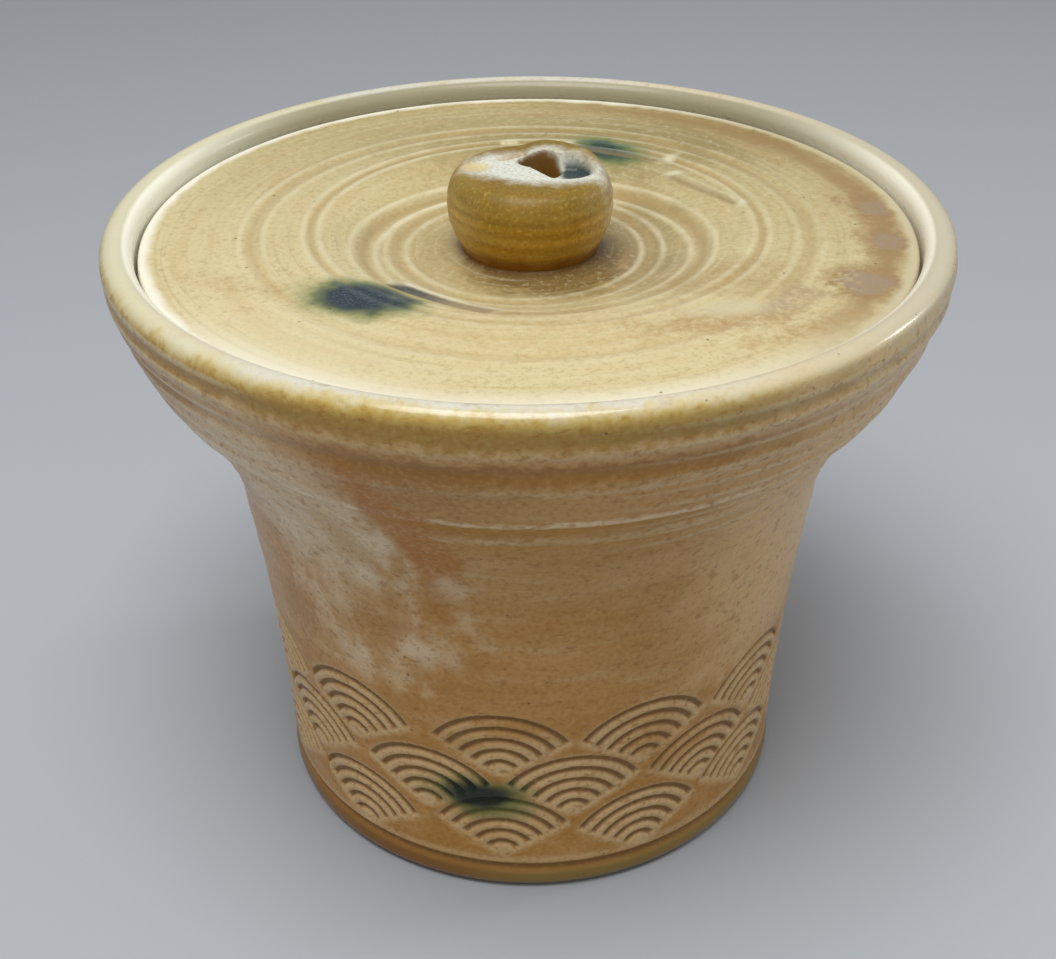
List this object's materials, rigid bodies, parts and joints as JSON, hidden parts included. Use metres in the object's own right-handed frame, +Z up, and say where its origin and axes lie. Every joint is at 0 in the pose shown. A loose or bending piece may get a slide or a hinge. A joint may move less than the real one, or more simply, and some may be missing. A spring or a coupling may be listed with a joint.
{
  "type": "water jar",
  "caption": "Thrown stoneware water jar for the tea room: flaring rim, stamped wave band round the foot, and a drop-in lid with a pinched knob that lifts off.",
  "frame": {"origin": "on the jar's axis, at the surface that it stands on", "axes": "+Z up along the jar's axis, -Y towards the front as pictured, +X to the right"},
  "size_m": [0.19, 0.19, 0.1615],
  "materials": {
    "jar_glaze": "warm brown ash glaze over a pale body, satin",
    "lid_glaze": "yellow ash glaze with green copper splashes, satin",
    "knob_glaze": "amber ash glaze, pale and glossy on top"
  },
  "bodies": {
    "jar": {"jar_body": "jar_glaze"},
    "lid": {"lid_plate": "lid_glaze", "lid_knob": "knob_glaze"}
  },
  "joints": [
    {"name": "lid_lift", "type": "slide", "parent": "jar", "child": "lid", "axis": [0, 0, 1], "range_m": [0, 0.12]}
  ]
}
